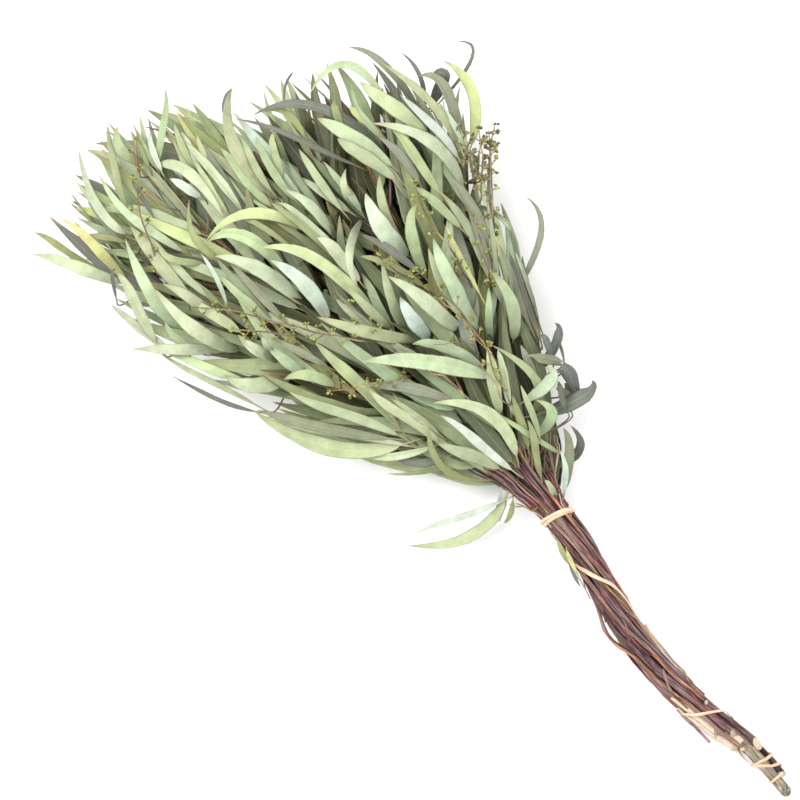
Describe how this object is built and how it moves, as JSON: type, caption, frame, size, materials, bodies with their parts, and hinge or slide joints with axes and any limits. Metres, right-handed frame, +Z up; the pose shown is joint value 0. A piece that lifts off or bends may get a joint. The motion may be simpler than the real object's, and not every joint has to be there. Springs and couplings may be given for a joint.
{
  "type": "bunch of dried eucalyptus",
  "caption": "Dried willow eucalyptus lying on a table: leafy stems fanned out above a tied neck, bare twisted stems below",
  "frame": {"origin": "on the table under the middle of the bunch's bounding box", "axes": "+X from the cut stem ends to the leaf tips, +Y across the bunch, +Z up from the table it lies on"},
  "size_m": [0.7086, 0.349, 0.1429],
  "materials": {
    "leafy_stems": "matt dried leaf and bark",
    "fibre": "dry raffia"
  },
  "bodies": {
    "root": {"leafy_stem_01": "leafy_stems", "leafy_stem_02": "leafy_stems", "leafy_stem_03": "leafy_stems", "leafy_stem_04": "leafy_stems", "leafy_stem_05": "leafy_stems", "leafy_stem_06": "leafy_stems", "leafy_stem_07": "leafy_stems", "leafy_stem_08": "leafy_stems", "leafy_stem_09": "leafy_stems", "leafy_stem_10": "leafy_stems", "leafy_stem_11": "leafy_stems", "leafy_stem_12": "leafy_stems", "leafy_stem_13": "leafy_stems", "neck_tie": "fibre", "raffia_strand": "fibre"}
  },
  "joints": []
}
